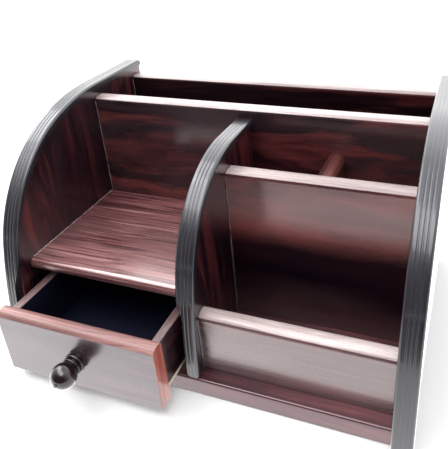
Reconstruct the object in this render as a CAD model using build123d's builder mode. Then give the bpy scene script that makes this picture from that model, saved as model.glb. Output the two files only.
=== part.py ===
# A wooden desk organizer with a drawer, in millimetres.
#
# Two tall side panels with a big curve at the front hold every board between
# them, and a smaller curved panel in the middle parts the width in two. Left
# of it a shelf lies over a drawer. Right of it stand a low pocket, a pair of
# pen compartments and, over the full width behind both halves, a letter slot.
# A fluted trim with a tongue is set into the curved edge of each panel.
#
# +X is to the right, +Y to the back and +Z up. The origin is the middle of
# the underside. The drawer stands a little open.

import os
from math import cos, radians, sin

from build123d import *

os.makedirs("parts", exist_ok=True)

# ---- driving sizes ------------------------------------------------------

# widths, from left to right
drawer_bay_width = 114.0
pen_bay_width = 117.0
panel_thickness = 9.0

# boards
board = 12.0
base_thickness = 12.0
shelf_thickness = 8.0

# depths, from front to back, where the letter slot takes what is left
case_depth = 182.0
pocket_setback = 15.0
pocket_depth = 43.5
pen_depth = 35.0
base_setback = 5.0
middle_setback = 5.4
shelf_setback = 20.0

# heights over the table
side_height = 153.0
middle_height = 136.0
back_height = 142.5
tall_divider_height = 142.5
pen_panel_height = 119.5
pen_divider_height = 116.0
pocket_board_height = 53.0
shelf_top = 65.0

# roundings of the boards' free edges
board_round = 3.0
pocket_round = 5.0
pen_divider_round = 5.0
shelf_round = 3.5
base_round = 1.5

# curved edge of the side panels: a long foot arc, a tight bend, a flat crown
side_foot_turn = 16.0
side_bend_turn = 70.0
side_bend_radius = 97.0
side_crown_radius = 143.5

# curved edge of the middle panel
middle_foot_turn = 13.5
middle_bend_turn = 67.5
middle_bend_radius = 73.0
middle_crown_radius = 77.5

# fluted trim
trim_width = 12.0
trim_thickness = 4.5
trim_round = 1.6
flute_count = 3
flute_pitch = 2.3
flute_width = 0.7
flute_depth = 0.5
tongue_width = 2.0
tongue_depth = 4.0
tongue_clearance = 0.1

# the trims are cut narrower beside the drawer
notch_cut = 4.3
notch_top = 49.0
notch_run_out = 22.0
trim_end_round = 2.5
trim_tail_round = 4.0

# drawer
drawer_open = 12.5
drawer_gap = 0.4
drawer_slide_clearance = 0.3
drawer_rear_gap = 1.5
front_side_gap = 2.0
front_thickness = 10.0
front_height = 44.5
front_drop = 4.5
front_round = 3.5
box_inset = 2.0
box_wall = 6.0
box_lowering = 3.5
box_floor = 3.0
box_round = 1.0

# knob, measured outwards from the drawer's face
knob_ball = 15.4
knob_ball_reach = 12.4
knob_nub = 2.0
knob_nub_height = 0.6
knob_foot = 10.4
knob_collar = 13.4
knob_collar_round = 0.7
knob_ring = 12.4
knob_ring_round = 0.5
knob_groove = 10.4

# fasteners
dowel_diameter = 6.0
dowel_length = 18.0
dowel_panel_depth = 6.0
dowel_clearance = 0.05
shelf_pin_diameter = 4.0
shelf_pin_length = 16.0
screw_diameter = 3.0
screw_length = 25.0
screw_head = 6.0
screw_sink = 0.3
drawer_pin_diameter = 3.0
drawer_pin_length = 16.0
brad_diameter = 1.2
brad_length = 10.0
knob_screw_diameter = 4.0
knob_screw_grip = 9.0
knob_screw_head = 8.0
knob_screw_head_height = 2.4
knob_screw_slot = 1.0

# how far the fasteners keep from the ends of what they hold
base_dowel_inset = 40.0
tall_board_dowel_inset = 28.0
pen_panel_dowel_inset = 22.0
pocket_board_dowel_inset = 10.0
middle_panel_dowel_inset = 30.0
shelf_pin_inset = 18.0
tall_board_screw_inset = 40.0
short_board_screw_inset = 30.0
middle_panel_screw_inset = 34.0
drawer_pin_inset = 8.0

# ---- places worked out from them ---------------------------------------

inner_width = drawer_bay_width + panel_thickness + pen_bay_width

inner_left = -inner_width / 2
inner_right = inner_width / 2
middle_left = inner_left + drawer_bay_width
middle_right = middle_left + panel_thickness
middle_x = (middle_left + middle_right) / 2
pen_divider_x = (middle_right + inner_right) / 2

front_y = -case_depth / 2
back_y = case_depth / 2
base_front = front_y + base_setback
middle_front = front_y + middle_setback
shelf_front = front_y + shelf_setback
pocket_board_front = front_y + pocket_setback
pocket_board_back = pocket_board_front + board
pen_panel_front = pocket_board_back + pocket_depth
pen_panel_back = pen_panel_front + board
tall_divider_front = pen_panel_back + pen_depth
tall_divider_back = tall_divider_front + board
back_panel_front = back_y - board

panel_slot_width = tongue_width + 2 * tongue_clearance
panel_slot_depth = tongue_depth + tongue_clearance
trim_overhang = (trim_width - panel_thickness) / 2

corner = (Align.MIN, Align.MIN, Align.MIN)

side_curve = {
    "front": front_y,
    "foot": 0.0,
    "top": side_height,
    "back": back_y,
    "foot_turn": side_foot_turn,
    "bend_turn": side_bend_turn,
    "bend": side_bend_radius,
    "crown": side_crown_radius,
}
middle_curve = {
    "front": middle_front,
    "foot": base_thickness,
    "top": middle_height,
    "back": tall_divider_front,
    "foot_turn": middle_foot_turn,
    "bend_turn": middle_bend_turn,
    "bend": middle_bend_radius,
    "crown": middle_crown_radius,
}


# The foot arc takes what height the bend and the crown leave.
def foot_radius(curve):
    low = sin(radians(curve["foot_turn"]))
    high = sin(radians(curve["bend_turn"]))
    rise = curve["top"] - curve["foot"]
    rise -= curve["bend"] * (high - low) + curve["crown"] * (1 - high)
    return rise / low


# Three tangent arcs, upright at the foot and level at the top, set in by inset.
def edge_arcs(curve, inset):
    foot_turn = curve["foot_turn"]
    bend_turn = curve["bend_turn"]
    start = (curve["front"] + inset, curve["foot"])
    foot = JernArc(start, (0, 1), foot_radius(curve) - inset, -foot_turn)
    bend = JernArc(foot @ 1, foot % 1, curve["bend"] - inset, foot_turn - bend_turn)
    crown = JernArc(bend @ 1, bend % 1, curve["crown"] - inset, bend_turn - 90)
    return start, crown @ 1


# The whole outline of a panel, standing in the plane X = x.
def panel_outline(curve, inset, x):
    with BuildSketch(Plane.YZ.offset(x)) as outline:
        with BuildLine():
            start, end = edge_arcs(curve, inset)
            top = curve["top"] - inset
            Polyline(end, (curve["back"], top), (curve["back"], curve["foot"]), start)
        make_face()
    return outline.sketch


# The strip along the curved edge between two insets, in the plane X = x.
def edge_strip(curve, outer, inner, x):
    with BuildSketch(Plane.YZ.offset(x)) as strip:
        with BuildLine():
            outer_start, outer_end = edge_arcs(curve, outer)
            inner_start, inner_end = edge_arcs(curve, inner)
            outer_back = (curve["back"], curve["top"] - outer)
            inner_back = (curve["back"], curve["top"] - inner)
            Polyline(outer_end, outer_back, inner_back, inner_end)
            Line(outer_start, inner_start)
        make_face()
    return strip.sketch


# A panel with the slot for the trim's tongue in its curved edge.
def curved_panel(curve, left):
    slot_left = left + (panel_thickness - panel_slot_width) / 2
    slot_floor = trim_thickness + panel_slot_depth
    with BuildPart() as panel:
        extrude(panel_outline(curve, trim_thickness, left), amount=panel_thickness)
        slot = edge_strip(curve, trim_thickness, slot_floor, slot_left)
        extrude(slot, amount=panel_slot_width, mode=Mode.SUBTRACT)
    return panel.part


# A trim strip with rounded flanks, flutes along its face and a tongue behind.
def fluted_trim(curve, centre):
    arc_radii = [foot_radius(curve), curve["bend"], curve["crown"]]
    with BuildPart() as trim:
        strip = edge_strip(curve, 0, trim_thickness, centre - trim_width / 2)
        extrude(strip, amount=trim_width)
        arcs = trim.edges().filter_by(GeomType.CIRCLE)
        face_arcs = arcs.filter_by(lambda arc: min(abs(arc.radius - r) for r in arc_radii) < 0.01)
        face_lines = trim.edges().filter_by(Axis.Y).group_by(Axis.Z)[-1]
        fillet(face_arcs + face_lines, trim_round)
        for index in range(flute_count):
            flute_x = centre + flute_pitch * (index - (flute_count - 1) / 2)
            flute = edge_strip(curve, 0, flute_depth, flute_x - flute_width / 2)
            extrude(flute, amount=flute_width, mode=Mode.SUBTRACT)
        tongue_root = trim_thickness + tongue_depth
        tongue = edge_strip(curve, trim_thickness, tongue_root, centre - tongue_width / 2)
        extrude(tongue, amount=tongue_width)
    return trim.part


# What a notch takes off a trim's flank at x, seen from the front. side is +1
# where the flank faces +X and -1 where it faces -X.
def notch_cutter(x, side, foot):
    inner = x - side * notch_cut
    outer = x + side * notch_cut
    notch_end = notch_top + notch_run_out
    with BuildPart() as cutter:
        with BuildSketch(Plane.XZ.offset(-back_y)) as shape:
            with BuildLine():
                run_out = Spline(
                    (inner, notch_top),
                    (x, notch_end),
                    tangents=[(0, 1), (0, 1)],
                )
                Line(run_out @ 1, (outer, notch_end))
                Line((outer, notch_end), (outer, foot))
                Line((outer, foot), (inner, foot))
                Line((inner, foot), run_out @ 0)
            make_face()
        extrude(amount=2 * case_depth)
    return cutter.part


# What is taken off a trim's foot to round its two corners, seen from the front.
def foot_cutter(left, right, foot):
    radius = trim_end_round
    with BuildPart() as cutter:
        with BuildSketch(Plane.XZ.offset(-back_y)):
            with Locations(((left + right) / 2, foot + (radius - 1) / 2)):
                Rectangle(right - left + 2, radius + 1)
            with Locations(((left + right) / 2, foot + 2 * radius)):
                RectangleRounded(right - left, 4 * radius, radius, mode=Mode.SUBTRACT)
        extrude(amount=2 * case_depth)
    return cutter.part


# What is taken off a side trim's back end to round its top, seen from the side.
def tail_cutter(centre):
    radius = trim_tail_round
    middle_y = back_y - radius
    middle_z = side_height - radius
    with BuildPart() as cutter:
        with Locations((centre - trim_width, middle_y, middle_z)):
            Box(2 * trim_width, radius + 1, radius + 1, align=corner)
        with Locations(Location((centre, middle_y, middle_z), (0, 90, 0))):
            Cylinder(radius, 3 * trim_width, mode=Mode.SUBTRACT)
    return cutter.part


# ---- fastener places, shared by the boards that they join --------------


# A dowel along X whose shorter end is in a panel's face at x. inward is +1
# where the board that it holds lies at the face's right.
def end_dowels(x, inward, length, places):
    middle = x + inward * (length / 2 - dowel_panel_depth)
    return [Location((middle, y, z), (0, 90, 0)) for y, z in places]


pocket_board_mid = pocket_board_front + board / 2
pen_panel_mid = pen_panel_front + board / 2
tall_divider_mid = tall_divider_front + board / 2
back_panel_mid = back_panel_front + board / 2
shelf_mid = shelf_top - shelf_thickness / 2

base_dowels = [
    (front_y + base_dowel_inset, base_thickness / 2),
    (back_y - base_dowel_inset, base_thickness / 2),
]
tall_divider_dowels = [
    (tall_divider_mid, base_thickness + tall_board_dowel_inset),
    (tall_divider_mid, tall_divider_height - tall_board_dowel_inset),
]
back_panel_dowels = [
    (back_panel_mid, base_thickness + tall_board_dowel_inset),
    (back_panel_mid, back_height - tall_board_dowel_inset),
]
pen_panel_dowels = [
    (pen_panel_mid, base_thickness + pen_panel_dowel_inset),
    (pen_panel_mid, pen_panel_height - pen_panel_dowel_inset),
]
pocket_board_dowels = [
    (pocket_board_mid, base_thickness + pocket_board_dowel_inset),
    (pocket_board_mid, pocket_board_height - pocket_board_dowel_inset),
]
shelf_pin_places = [
    (shelf_front + shelf_pin_inset, shelf_mid),
    (tall_divider_front - shelf_pin_inset, shelf_mid),
]

wide_dowels = base_dowels + tall_divider_dowels + back_panel_dowels
narrow_dowels = pen_panel_dowels + pocket_board_dowels
left_dowels = end_dowels(inner_left, 1, dowel_length, wide_dowels)
right_dowels = end_dowels(inner_right, -1, dowel_length, wide_dowels + narrow_dowels)
middle_dowels = end_dowels(middle_right, 1, dowel_length, narrow_dowels)
left_shelf_pins = end_dowels(inner_left, 1, shelf_pin_length, shelf_pin_places)
right_shelf_pins = end_dowels(middle_left, -1, shelf_pin_length, shelf_pin_places)

# dowels along Y from the middle panel's back edge into the tall divider
rear_dowel_y = tall_divider_front + dowel_panel_depth - dowel_length / 2
rear_dowel_heights = (
    base_thickness + middle_panel_dowel_inset,
    middle_height - middle_panel_dowel_inset,
)
rear_dowels = [Location((middle_x, rear_dowel_y, z), (90, 0, 0)) for z in rear_dowel_heights]

# screws up through the base into the upright boards
screw_places = [
    (inner_left + tall_board_screw_inset, tall_divider_mid),
    (inner_right - tall_board_screw_inset, tall_divider_mid),
    (inner_left + tall_board_screw_inset, back_panel_mid),
    (inner_right - tall_board_screw_inset, back_panel_mid),
    (middle_right + short_board_screw_inset, pen_panel_mid),
    (inner_right - short_board_screw_inset, pen_panel_mid),
    (middle_right + short_board_screw_inset, pocket_board_mid),
    (inner_right - short_board_screw_inset, pocket_board_mid),
    (middle_x, front_y + middle_panel_screw_inset),
    (middle_x, tall_divider_front - middle_panel_screw_inset),
    (pen_divider_x, (pen_panel_back + tall_divider_front) / 2),
]

screw_radius = screw_diameter / 2
screw_head_depth = (screw_head - screw_diameter) / 2
screw_bottom = screw_sink
screw_tip = screw_bottom + screw_length


# The half section of a countersunk screw, its head down, for a revolve.
def screw_section(tip_length):
    with BuildSketch(Plane.XZ) as section:
        with BuildLine():
            Polyline(
                (0, screw_bottom),
                (screw_head / 2, screw_bottom),
                (screw_radius, screw_bottom + screw_head_depth),
                (screw_radius, screw_tip - tip_length),
                (0, screw_tip),
                (0, screw_bottom),
            )
        make_face()
    return section.sketch


# Bores for dowels, by one cylinder on each place.
def bore(places, diameter, length):
    with Locations(*places):
        Cylinder(diameter / 2 + dowel_clearance, length, mode=Mode.SUBTRACT)


# Pilot bores in what stands on the base.
def pilot_bores(places):
    with Locations(*[(x, y, 0) for x, y in places]):
        Cylinder(screw_radius, screw_tip, align=(Align.CENTER, Align.CENTER, Align.MIN),
                 mode=Mode.SUBTRACT)


# ---- side panels --------------------------------------------------------

with BuildPart() as left_side_panel:
    add(curved_panel(side_curve, inner_left - panel_thickness))
    bore(left_dowels, dowel_diameter, dowel_length)
    bore(left_shelf_pins, shelf_pin_diameter, shelf_pin_length)

with BuildPart() as right_side_panel:
    add(curved_panel(side_curve, inner_right))
    bore(right_dowels, dowel_diameter, dowel_length)

with BuildPart() as middle_panel:
    add(curved_panel(middle_curve, middle_left))
    bore(middle_dowels, dowel_diameter, dowel_length)
    bore(right_shelf_pins, shelf_pin_diameter, shelf_pin_length)
    bore(rear_dowels, dowel_diameter, dowel_length)
    pilot_bores(screw_places)

# ---- fluted trims -------------------------------------------------------

left_trim_x = inner_left - panel_thickness / 2
right_trim_x = inner_right + panel_thickness / 2

with BuildPart() as left_edge_trim:
    add(fluted_trim(side_curve, left_trim_x))
    add(notch_cutter(left_trim_x + trim_width / 2, 1, -1), mode=Mode.SUBTRACT)
    add(tail_cutter(left_trim_x), mode=Mode.SUBTRACT)

with BuildPart() as right_edge_trim:
    add(fluted_trim(side_curve, right_trim_x))
    add(tail_cutter(right_trim_x), mode=Mode.SUBTRACT)

with BuildPart() as middle_edge_trim:
    add(fluted_trim(middle_curve, middle_x))
    add(notch_cutter(middle_x - trim_width / 2, -1, 0), mode=Mode.SUBTRACT)
    trim_foot_left = middle_x - trim_width / 2 + notch_cut
    trim_foot_right = middle_x + trim_width / 2
    add(foot_cutter(trim_foot_left, trim_foot_right, base_thickness), mode=Mode.SUBTRACT)

# ---- boards -------------------------------------------------------------

with BuildPart() as base_board:
    with Locations((inner_left, base_front, 0)):
        Box(inner_width, back_y - base_front, base_thickness, align=corner)
    front_edges = base_board.edges().filter_by(Axis.X).group_by(Axis.Y)[0]
    fillet(front_edges.sort_by(Axis.Z)[-1], base_round)
    bore(left_dowels + right_dowels, dowel_diameter, dowel_length)
    with Locations(*[(x, y, 0) for x, y in screw_places]):
        CounterSinkHole(screw_radius, screw_head / 2)

with BuildPart() as back_panel:
    with Locations((inner_left, back_panel_front, base_thickness)):
        Box(inner_width, board, back_height - base_thickness, align=corner)
    fillet(back_panel.edges().filter_by(Axis.X).group_by(Axis.Z)[-1], board_round)
    bore(left_dowels + right_dowels, dowel_diameter, dowel_length)
    pilot_bores(screw_places)

with BuildPart() as tall_divider:
    with Locations((inner_left, tall_divider_front, base_thickness)):
        Box(inner_width, board, tall_divider_height - base_thickness, align=corner)
    fillet(tall_divider.edges().filter_by(Axis.X).group_by(Axis.Z)[-1], board_round)
    bore(left_dowels + right_dowels + rear_dowels, dowel_diameter, dowel_length)
    pilot_bores(screw_places)

with BuildPart() as pen_panel:
    with Locations((middle_right, pen_panel_front, base_thickness)):
        Box(pen_bay_width, board, pen_panel_height - base_thickness, align=corner)
    fillet(pen_panel.edges().filter_by(Axis.X).group_by(Axis.Z)[-1], board_round)
    bore(middle_dowels + right_dowels, dowel_diameter, dowel_length)
    pilot_bores(screw_places)

with BuildPart() as pocket_front_board:
    with Locations((middle_right, pocket_board_front, base_thickness)):
        Box(pen_bay_width, board, pocket_board_height - base_thickness, align=corner)
    fillet(pocket_front_board.edges().filter_by(Axis.X).group_by(Axis.Z)[-1], pocket_round)
    bore(middle_dowels + right_dowels, dowel_diameter, dowel_length)
    pilot_bores(screw_places)

with BuildPart() as pen_divider:
    with Locations((pen_divider_x - board / 2, pen_panel_back, base_thickness)):
        Box(board, pen_depth, pen_divider_height - base_thickness, align=corner)
    fillet(pen_divider.edges().filter_by(Axis.Y).group_by(Axis.Z)[-1], pen_divider_round)
    pilot_bores(screw_places)

with BuildPart() as shelf:
    with Locations((inner_left, shelf_front, shelf_top - shelf_thickness)):
        Box(drawer_bay_width, tall_divider_front - shelf_front, shelf_thickness, align=corner)
    fillet(shelf.edges().filter_by(Axis.X).group_by(Axis.Y)[0], shelf_round)
    bore(left_shelf_pins + right_shelf_pins, shelf_pin_diameter, shelf_pin_length)

# ---- fasteners of the case ----------------------------------------------

with BuildPart() as joint_dowels:
    with Locations(*(left_dowels + right_dowels + middle_dowels + rear_dowels)):
        Cylinder(dowel_diameter / 2, dowel_length)

with BuildPart() as shelf_pins:
    with Locations(*(left_shelf_pins + right_shelf_pins)):
        Cylinder(shelf_pin_diameter / 2, shelf_pin_length)

with BuildPart() as one_screw:
    revolve(screw_section(screw_diameter), axis=Axis.Z)
    with Locations((0, 0, screw_bottom)):
        Box(screw_head * 0.6, screw_diameter / 4, screw_head_depth, mode=Mode.SUBTRACT)
        Box(screw_diameter / 4, screw_head * 0.6, screw_head_depth, mode=Mode.SUBTRACT)

with BuildPart() as base_screws:
    with Locations(*[(x, y, 0) for x, y in screw_places]):
        add(one_screw.part)

# ---- drawer -------------------------------------------------------------

front_left = inner_left + front_side_gap
front_width = drawer_bay_width - 2 * front_side_gap
front_bottom = base_thickness - front_drop
front_top = front_bottom + front_height
front_back_y = base_front - drawer_gap - drawer_open
front_face_y = front_back_y - front_thickness

box_left = front_left + box_inset
box_right = front_left + front_width - box_inset
box_bottom = base_thickness + drawer_slide_clearance
box_side_bottom = box_bottom + box_floor
box_top = front_top - box_lowering
box_back_y = tall_divider_front - drawer_rear_gap - drawer_open
box_length = box_back_y - front_back_y
box_height = box_top - box_side_bottom

knob_x = front_left + front_width / 2
knob_z = (front_bottom + front_top) / 2

pin_heights = (box_side_bottom + drawer_pin_inset, box_top - drawer_pin_inset)
side_mids = (box_left + box_wall / 2, box_right - box_wall / 2)
front_pins = [
    Location((x, front_back_y + drawer_pin_length / 2 - box_wall, z), (90, 0, 0))
    for x in side_mids
    for z in pin_heights
]
back_pin_y = box_back_y - box_wall / 2
back_pins = [
    Location((x, back_pin_y, z), (0, 90, 0))
    for x in (box_left + drawer_pin_length / 2, box_right - drawer_pin_length / 2)
    for z in pin_heights
]
brad_places = [
    (x, front_back_y + box_length * share, box_bottom + brad_length / 2)
    for x in side_mids
    for share in (0.15, 0.5, 0.85)
]

with BuildPart() as drawer_front:
    with Locations((front_left, front_face_y, front_bottom)):
        Box(front_width, front_thickness, front_height, align=corner)
    fillet(drawer_front.edges().filter_by(Axis.X).group_by(Axis.Z)[-1], front_round)
    bore(front_pins, drawer_pin_diameter, drawer_pin_length)
    with Locations(Location((knob_x, (front_face_y + front_back_y) / 2, knob_z), (90, 0, 0))):
        Cylinder(knob_screw_diameter / 2 + dowel_clearance, front_thickness, mode=Mode.SUBTRACT)

with BuildPart() as drawer_left_side:
    with Locations((box_left, front_back_y, box_side_bottom)):
        Box(box_wall, box_length, box_height, align=corner)
    fillet(drawer_left_side.edges().filter_by(Axis.Y).group_by(Axis.Z)[-1], box_round)
    bore(front_pins + back_pins, drawer_pin_diameter, drawer_pin_length)
    bore(brad_places, brad_diameter, brad_length)

with BuildPart() as drawer_right_side:
    with Locations((box_right - box_wall, front_back_y, box_side_bottom)):
        Box(box_wall, box_length, box_height, align=corner)
    fillet(drawer_right_side.edges().filter_by(Axis.Y).group_by(Axis.Z)[-1], box_round)
    bore(front_pins + back_pins, drawer_pin_diameter, drawer_pin_length)
    bore(brad_places, brad_diameter, brad_length)

with BuildPart() as drawer_back:
    with Locations((box_left + box_wall, box_back_y - box_wall, box_side_bottom)):
        Box(box_right - box_left - 2 * box_wall, box_wall, box_height, align=corner)
    bore(back_pins, drawer_pin_diameter, drawer_pin_length)

with BuildPart() as drawer_bottom:
    with Locations((box_left, front_back_y, box_bottom)):
        Box(box_right - box_left, box_length, box_floor, align=corner)
    bore(brad_places, brad_diameter, brad_length)

with BuildPart() as drawer_pins:
    with Locations(*(front_pins + back_pins)):
        Cylinder(drawer_pin_diameter / 2, drawer_pin_length)

with BuildPart() as bottom_brads:
    with Locations(*brad_places):
        Cylinder(brad_diameter / 2, brad_length)

# The knob is turned in one piece: foot, collar, ring, ball and a small nub.
# Its section is drawn as radius against the distance out from the face.
ball_radius = knob_ball / 2
ball_start = knob_ball_reach - (ball_radius**2 - (knob_groove / 2) ** 2) ** 0.5
collar_start = ball_start * 0.16
ring_end = ball_start * 0.95
ring_start = ball_start * 0.68
collar_end = ball_start * 0.56
nub_start = knob_ball_reach + (ball_radius**2 - (knob_nub / 2) ** 2) ** 0.5
nub_tip = knob_ball_reach + ball_radius + knob_nub_height

with BuildPart() as drawer_knob:
    with BuildSketch(Plane((knob_x, front_face_y, knob_z), x_dir=(1, 0, 0), z_dir=(0, 0, -1))):
        with BuildLine():
            foot = Line((knob_foot / 2, 0), (knob_foot / 2, collar_start))
            Line(foot @ 1, (knob_collar / 2 - knob_collar_round, collar_start))
            ThreePointArc(
                (knob_collar / 2 - knob_collar_round, collar_start),
                (knob_collar / 2, (collar_start + collar_end) / 2),
                (knob_collar / 2 - knob_collar_round, collar_end),
            )
            Polyline(
                (knob_collar / 2 - knob_collar_round, collar_end),
                (knob_groove / 2, collar_end),
                (knob_groove / 2, ring_start),
                (knob_ring / 2 - knob_ring_round, ring_start),
            )
            ThreePointArc(
                (knob_ring / 2 - knob_ring_round, ring_start),
                (knob_ring / 2, (ring_start + ring_end) / 2),
                (knob_ring / 2 - knob_ring_round, ring_end),
            )
            Polyline(
                (knob_ring / 2 - knob_ring_round, ring_end),
                (knob_groove / 2, ring_end),
                (knob_groove / 2, ball_start),
            )
            ThreePointArc(
                (knob_groove / 2, ball_start),
                (ball_radius, knob_ball_reach),
                (knob_nub / 2, nub_start),
            )
            Polyline(
                (knob_nub / 2, nub_start),
                (knob_nub / 2, nub_tip),
                (0, nub_tip),
                (0, 0),
                (knob_foot / 2, 0),
            )
        make_face()
    revolve(axis=Axis((knob_x, front_face_y, knob_z), (0, 1, 0)))
    with Locations(Location((knob_x, front_face_y - knob_screw_grip / 2, knob_z), (90, 0, 0))):
        Cylinder(knob_screw_diameter / 2, knob_screw_grip, mode=Mode.SUBTRACT)

knob_screw_shank = front_thickness + knob_screw_grip
with BuildPart() as knob_screw:
    with BuildSketch(Plane.XZ.offset(-front_back_y)):
        with Locations((knob_x, knob_z)):
            Circle(knob_screw_head / 2)
    extrude(amount=-knob_screw_head_height)
    fillet(knob_screw.edges().group_by(Axis.Y)[-1], knob_screw_head_height / 3)
    with BuildSketch(Plane.XZ.offset(-front_back_y)):
        with Locations((knob_x, knob_z)):
            Circle(knob_screw_diameter / 2)
    extrude(amount=knob_screw_shank)
    with Locations((knob_x, front_back_y + knob_screw_head_height, knob_z)):
        Box(knob_screw_head * 0.7, knob_screw_head_height, knob_screw_slot, mode=Mode.SUBTRACT)
        Box(knob_screw_slot, knob_screw_head_height, knob_screw_head * 0.7, mode=Mode.SUBTRACT)

# ---- labels and files ---------------------------------------------------

left_side_panel.part.label = "left_side_panel"
right_side_panel.part.label = "right_side_panel"
middle_panel.part.label = "middle_panel"
left_edge_trim.part.label = "left_edge_trim"
right_edge_trim.part.label = "right_edge_trim"
middle_edge_trim.part.label = "middle_edge_trim"
base_board.part.label = "base_board"
back_panel.part.label = "back_panel"
tall_divider.part.label = "tall_divider"
pen_panel.part.label = "pen_panel"
pocket_front_board.part.label = "pocket_front_board"
pen_divider.part.label = "pen_divider"
shelf.part.label = "shelf"
joint_dowels.part.label = "joint_dowels"
shelf_pins.part.label = "shelf_pins"
base_screws.part.label = "base_screws"
drawer_front.part.label = "drawer_front"
drawer_left_side.part.label = "drawer_left_side"
drawer_right_side.part.label = "drawer_right_side"
drawer_back.part.label = "drawer_back"
drawer_bottom.part.label = "drawer_bottom"
drawer_pins.part.label = "drawer_pins"
bottom_brads.part.label = "bottom_brads"
drawer_knob.part.label = "drawer_knob"
knob_screw.part.label = "knob_screw"

export_step(left_side_panel.part, "parts/left_side_panel.step")
export_step(right_side_panel.part, "parts/right_side_panel.step")
export_step(middle_panel.part, "parts/middle_panel.step")
export_step(left_edge_trim.part, "parts/left_edge_trim.step")
export_step(right_edge_trim.part, "parts/right_edge_trim.step")
export_step(middle_edge_trim.part, "parts/middle_edge_trim.step")
export_step(base_board.part, "parts/base_board.step")
export_step(back_panel.part, "parts/back_panel.step")
export_step(tall_divider.part, "parts/tall_divider.step")
export_step(pen_panel.part, "parts/pen_panel.step")
export_step(pocket_front_board.part, "parts/pocket_front_board.step")
export_step(pen_divider.part, "parts/pen_divider.step")
export_step(shelf.part, "parts/shelf.step")
export_step(joint_dowels.part, "parts/joint_dowels.step")
export_step(shelf_pins.part, "parts/shelf_pins.step")
export_step(base_screws.part, "parts/base_screws.step")
export_step(drawer_front.part, "parts/drawer_front.step")
export_step(drawer_left_side.part, "parts/drawer_left_side.step")
export_step(drawer_right_side.part, "parts/drawer_right_side.step")
export_step(drawer_back.part, "parts/drawer_back.step")
export_step(drawer_bottom.part, "parts/drawer_bottom.step")
export_step(drawer_pins.part, "parts/drawer_pins.step")
export_step(bottom_brads.part, "parts/bottom_brads.step")
export_step(drawer_knob.part, "parts/drawer_knob.step")
export_step(knob_screw.part, "parts/knob_screw.step")
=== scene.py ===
from math import atan, cos, radians, sin

import bmesh
import bpy
from mathutils import Matrix, Vector


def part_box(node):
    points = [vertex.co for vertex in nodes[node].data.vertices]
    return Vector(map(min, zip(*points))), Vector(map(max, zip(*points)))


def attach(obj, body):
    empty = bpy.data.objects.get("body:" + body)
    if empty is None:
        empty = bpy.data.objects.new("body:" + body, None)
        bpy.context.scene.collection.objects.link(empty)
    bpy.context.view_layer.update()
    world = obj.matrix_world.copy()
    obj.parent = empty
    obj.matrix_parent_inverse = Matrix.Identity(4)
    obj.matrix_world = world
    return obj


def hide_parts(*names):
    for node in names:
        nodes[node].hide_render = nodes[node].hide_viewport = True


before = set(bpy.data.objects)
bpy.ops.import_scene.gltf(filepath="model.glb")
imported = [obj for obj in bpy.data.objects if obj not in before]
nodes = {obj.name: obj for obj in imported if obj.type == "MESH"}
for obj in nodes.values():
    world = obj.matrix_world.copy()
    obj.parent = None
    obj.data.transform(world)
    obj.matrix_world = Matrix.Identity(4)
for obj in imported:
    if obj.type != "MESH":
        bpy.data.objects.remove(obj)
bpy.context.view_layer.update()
mm = 0.001
quarterTurn = radians(90)
acrossAxis, depthAxis, upAxis = 0, 1, 2
lowEnd, highEnd = 0, 1
print("frame loaded")


def linkObject(name, data):
    made = bpy.data.objects.new(name, data)
    bpy.context.scene.collection.objects.link(made)
    return made


cameraValues = {
    "place": (0.1380, -0.29856, 0.27706),
    "heading": 0.393975,  # turned about the upright
    "tilt": 1.108729,  # up from looking straight down
    "roll": -0.070045,
    "sensor": 36,
    "lens": 45.421,
    "shiftX": -0.06568,
    "shiftY": -0.13428,
    "clip": (0.01, 50),  # the nearest and farthest it sees, in metres
}

cameraData = bpy.data.cameras.new("photoCamera")
camera = linkObject("photoCamera", cameraData)
turn = Matrix.Rotation(cameraValues["heading"], 4, "Z")
turn = turn @ Matrix.Rotation(cameraValues["tilt"], 4, "X")
turn = turn @ Matrix.Rotation(cameraValues["roll"], 4, "Z")
camera.matrix_world = Matrix.Translation(cameraValues["place"]) @ turn
cameraData.sensor_fit = "HORIZONTAL"
cameraData.sensor_width = cameraValues["sensor"]
cameraData.lens = cameraValues["lens"]
cameraData.shift_x = cameraValues["shiftX"]
cameraData.shift_y = cameraValues["shiftY"]
cameraData.clip_start, cameraData.clip_end = cameraValues["clip"]
bpy.context.scene.camera = camera


# Links a socket to another node's output, or sets it to a plain value.
def feedSocket(tree, socket, value):
    if isinstance(value, bpy.types.NodeSocket):
        tree.links.new(value, socket)
    else:
        socket.default_value = value


def addNode(tree, kind, **inputs):
    node = tree.nodes.new(kind)
    for key, value in inputs.items():
        feedSocket(tree, node.inputs[key.replace("_", " ")], value)
    return node


def addNoise(tree, vector, stretch, offset=(0, 0, 0), detail=2.0, roughness=0.5, distortion=0.0):
    placed = addNode(tree, "ShaderNodeMapping", Vector=vector, Scale=stretch, Location=offset)
    noise = addNode(tree, "ShaderNodeTexNoise", Vector=placed.outputs["Vector"], Scale=1.0,
                    Detail=detail, Roughness=roughness, Distortion=distortion)
    return noise.outputs["Fac"]


def addRamp(tree, value, stops):
    ramp = addNode(tree, "ShaderNodeValToRGB", Fac=value)
    points = ramp.color_ramp.elements
    while len(points) < len(stops):
        points.new(0.5)
    for point, (position, colour) in zip(points, stops):
        point.position = position
        point.color = (*colour, 1)
    return ramp.outputs["Color"]


# Black where the value is below start, and grey of the share from end on.
def addMask(tree, value, start, end, share):
    return addRamp(tree, value, [(start, (0, 0, 0)), (end, (share, share, share))])


# Rises from 0 to 1 while the value crosses a span.
def addRise(tree, value, span, kind="LINEAR"):
    rise = addNode(tree, "ShaderNodeMapRange", Value=value, From_Min=span[0], From_Max=span[1])
    rise.interpolation_type = kind
    return rise.outputs["Result"]


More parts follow.
